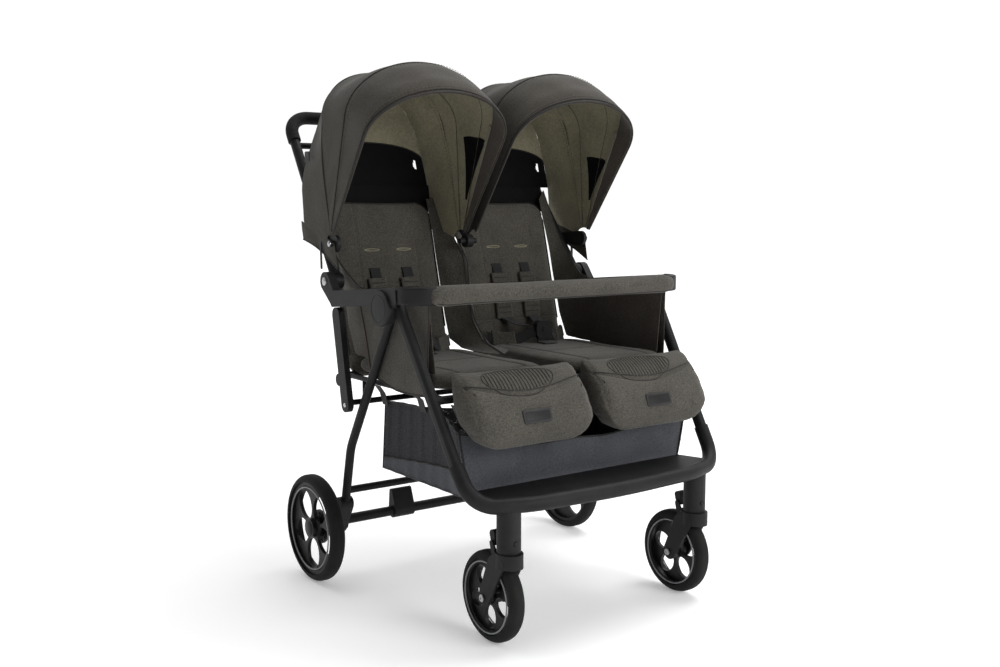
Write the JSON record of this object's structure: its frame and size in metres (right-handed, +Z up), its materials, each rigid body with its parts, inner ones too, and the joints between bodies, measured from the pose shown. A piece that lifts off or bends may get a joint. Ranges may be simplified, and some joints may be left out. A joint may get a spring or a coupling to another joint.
{
  "type": "twin stroller",
  "caption": "Side-by-side folding stroller with reclining padded seats, swivelling front wheels, hoods and a basket.",
  "frame": {"origin": "on the floor below the middle of the whole object", "axes": "+Z up, +X across towards the right-hand seat as seen from in front, -Y towards the front wheels"},
  "size_m": [0.744, 0.8276, 1.1223],
  "materials": {
    "tyre_rubber": "matt",
    "wheel_plastic": "satin",
    "moulded_plastic": "satin",
    "steel_pin": "brushed",
    "frame_paint": "matt charcoal",
    "grip_foam": "matt",
    "fabric_olive": "woven melange",
    "basket_cloth": "woven mesh"
  },
  "bodies": {
    "chassis": {"front_bar": "frame_paint", "front_legs": "frame_paint", "armrests": "moulded_plastic", "hub_covers": "moulded_plastic", "hub_pins": "steel_pin", "side_links": "moulded_plastic", "seat_frame": "frame_paint", "basket": "basket_cloth", "side_panels": "fabric_olive", "harness_buckles": "moulded_plastic", "caster_housing_left": "moulded_plastic", "caster_housing_right": "moulded_plastic", "seat_cushion_left": "fabric_olive", "seat_cushion_right": "fabric_olive"},
    "rear_legs": {"rear_leg_left": "frame_paint", "rear_leg_right": "frame_paint", "upper_cross_tube": "frame_paint", "axle_tube": "frame_paint", "rear_brackets": "moulded_plastic", "rear_axles": "steel_pin"},
    "pusher": {"pusher_tube": "frame_paint", "handle_grip": "grip_foam", "handle_brace": "frame_paint", "canopy_clips": "moulded_plastic", "canopy_rear_left": "fabric_olive", "canopy_rear_right": "fabric_olive"},
    "bumper": {"bumper_tube": "frame_paint", "bumper_pad": "fabric_olive"},
    "brake_pedal": {"brake_pedal": "moulded_plastic"},
    "rear_wheel_left": {"rear_tyre_left": "tyre_rubber", "rear_rim_left": "wheel_plastic"},
    "front_wheel_left": {"front_tyre_left": "tyre_rubber", "front_rim_left": "wheel_plastic"},
    "caster_left": {"caster_fork_left": "moulded_plastic", "front_axle_left": "steel_pin"},
    "swivel_lock_left": {"swivel_lock_left": "moulded_plastic"},
    "wheel_release_left": {"wheel_release_left": "moulded_plastic"},
    "brake_pin_left": {"brake_pin_left": "steel_pin"},
    "seat_back_left": {"seat_back_left": "fabric_olive"},
    "leg_rest_left": {"leg_rest_left": "fabric_olive"},
    "canopy_front_left": {"canopy_front_left": "fabric_olive"},
    "canopy_middle_left": {"canopy_middle_left": "fabric_olive"},
    "bumper_release_left": {"bumper_release_left": "moulded_plastic"},
    "buckle_button_left": {"buckle_button_left": "moulded_plastic"},
    "rear_wheel_right": {"rear_tyre_right": "tyre_rubber", "rear_rim_right": "wheel_plastic"},
    "front_wheel_right": {"front_tyre_right": "tyre_rubber", "front_rim_right": "wheel_plastic"},
    "caster_right": {"caster_fork_right": "moulded_plastic", "front_axle_right": "steel_pin"},
    "swivel_lock_right": {"swivel_lock_right": "moulded_plastic"},
    "wheel_release_right": {"wheel_release_right": "moulded_plastic"},
    "brake_pin_right": {"brake_pin_right": "steel_pin"},
    "seat_back_right": {"seat_back_right": "fabric_olive"},
    "leg_rest_right": {"leg_rest_right": "fabric_olive"},
    "canopy_front_right": {"canopy_front_right": "fabric_olive"},
    "canopy_middle_right": {"canopy_middle_right": "fabric_olive"},
    "bumper_release_right": {"bumper_release_right": "moulded_plastic"},
    "buckle_button_right": {"buckle_button_right": "moulded_plastic"}
  },
  "joints": [
    {"name": "frame_fold", "type": "hinge", "parent": "chassis", "child": "rear_legs", "pos_m": [0, -0.1, 0.622], "axis": [-1, 0, 0], "range_deg": [0, 38]},
    {"name": "pusher_fold", "type": "hinge", "parent": "chassis", "child": "pusher", "pos_m": [0, 0.137, 0.663], "axis": [-1, 0, 0], "range_deg": [0, 114]},
    {"name": "brake", "type": "hinge", "parent": "rear_legs", "child": "brake_pedal", "pos_m": [0, 0.192, 0.126], "axis": [-1, 0, 0], "range_deg": [0, 25]},
    {"name": "bumper_pull", "type": "slide", "parent": "chassis", "child": "bumper", "axis": [0, -1, 0], "range_m": [0, 0.06]},
    {"name": "rear_spin_left", "type": "hinge", "parent": "rear_legs", "child": "rear_wheel_left", "pos_m": [-0.355, 0.203, 0.117], "axis": [1, 0, 0], "continuous": true},
    {"name": "caster_swivel_left", "type": "hinge", "parent": "chassis", "child": "caster_left", "pos_m": [-0.241, -0.363, 0.186], "axis": [0, 0, 1], "continuous": true},
    {"name": "front_spin_left", "type": "hinge", "parent": "caster_left", "child": "front_wheel_left", "pos_m": [-0.241, -0.312, 0.088], "axis": [1, 0, 0], "continuous": true},
    {"name": "swivel_lock_left", "type": "hinge", "parent": "caster_left", "child": "swivel_lock_left", "pos_m": [-0.241, -0.325, 0.196], "axis": [-1, 0, 0], "range_deg": [0, 22]},
    {"name": "wheel_release_left", "type": "slide", "parent": "chassis", "child": "wheel_release_left", "axis": [0, 1, 0], "range_m": [0, 0.002], "stiffness_N_per_m": 600},
    {"name": "brake_pin_left", "type": "slide", "parent": "rear_legs", "child": "brake_pin_left", "axis": [-1, 0, 0], "range_m": [0, 0.0205]},
    {"name": "recline_left", "type": "hinge", "parent": "chassis", "child": "seat_back_left", "pos_m": [-0.165, 0.148, 0.459], "axis": [-1, 0, 0], "range_deg": [0, 40]},
    {"name": "leg_rest_left", "type": "hinge", "parent": "chassis", "child": "leg_rest_left", "pos_m": [-0.156, -0.24, 0.459], "axis": [-1, 0, 0], "range_deg": [0, 30]},
    {"name": "canopy_left", "type": "hinge", "parent": "pusher", "child": "canopy_front_left", "pos_m": [-0.18, 0.125, 0.742], "axis": [-1, 0, 0], "range_deg": [0, 55]},
    {"name": "canopy_middle_left", "type": "hinge", "parent": "pusher", "child": "canopy_middle_left", "pos_m": [-0.18, 0.125, 0.742], "axis": [-1, 0, 0], "range_deg": [0, 28]},
    {"name": "bumper_release_left", "type": "slide", "parent": "chassis", "child": "bumper_release_left", "axis": [0, 0, 1], "range_m": [0, 0.002], "stiffness_N_per_m": 600},
    {"name": "buckle_button_left", "type": "slide", "parent": "chassis", "child": "buckle_button_left", "axis": [0, 1, 0], "range_m": [0, 0.002], "stiffness_N_per_m": 600},
    {"name": "rear_spin_right", "type": "hinge", "parent": "rear_legs", "child": "rear_wheel_right", "pos_m": [0.355, 0.203, 0.117], "axis": [1, 0, 0], "continuous": true},
    {"name": "caster_swivel_right", "type": "hinge", "parent": "chassis", "child": "caster_right", "pos_m": [0.241, -0.363, 0.186], "axis": [0, 0, 1], "continuous": true},
    {"name": "front_spin_right", "type": "hinge", "parent": "caster_right", "child": "front_wheel_right", "pos_m": [0.241, -0.312, 0.088], "axis": [1, 0, 0], "continuous": true},
    {"name": "swivel_lock_right", "type": "hinge", "parent": "caster_right", "child": "swivel_lock_right", "pos_m": [0.241, -0.325, 0.196], "axis": [-1, 0, 0], "range_deg": [0, 22]},
    {"name": "wheel_release_right", "type": "slide", "parent": "chassis", "child": "wheel_release_right", "axis": [0, 1, 0], "range_m": [0, 0.002], "stiffness_N_per_m": 600},
    {"name": "brake_pin_right", "type": "slide", "parent": "rear_legs", "child": "brake_pin_right", "axis": [1, 0, 0], "range_m": [0, 0.0205]},
    {"name": "recline_right", "type": "hinge", "parent": "chassis", "child": "seat_back_right", "pos_m": [0.165, 0.148, 0.459], "axis": [-1, 0, 0], "range_deg": [0, 40]},
    {"name": "leg_rest_right", "type": "hinge", "parent": "chassis", "child": "leg_rest_right", "pos_m": [0.156, -0.24, 0.459], "axis": [-1, 0, 0], "range_deg": [0, 30]},
    {"name": "canopy_right", "type": "hinge", "parent": "pusher", "child": "canopy_front_right", "pos_m": [0.18, 0.125, 0.742], "axis": [-1, 0, 0], "range_deg": [0, 55]},
    {"name": "canopy_middle_right", "type": "hinge", "parent": "pusher", "child": "canopy_middle_right", "pos_m": [0.18, 0.125, 0.742], "axis": [-1, 0, 0], "range_deg": [0, 28]},
    {"name": "bumper_release_right", "type": "slide", "parent": "chassis", "child": "bumper_release_right", "axis": [0, 0, 1], "range_m": [0, 0.002], "stiffness_N_per_m": 600},
    {"name": "buckle_button_right", "type": "slide", "parent": "chassis", "child": "buckle_button_right", "axis": [0, 1, 0], "range_m": [0, 0.002], "stiffness_N_per_m": 600}
  ],
  "couplings": [
    {"joint": "pusher_fold", "follows": "frame_fold", "ratio": 3},
    {"joint": "brake_pin_left", "follows": "brake", "m_per_rad": 0.0458},
    {"joint": "canopy_middle_left", "follows": "canopy_left", "ratio": 0.5},
    {"joint": "brake_pin_right", "follows": "brake", "m_per_rad": 0.0458},
    {"joint": "canopy_middle_right", "follows": "canopy_right", "ratio": 0.5}
  ]
}
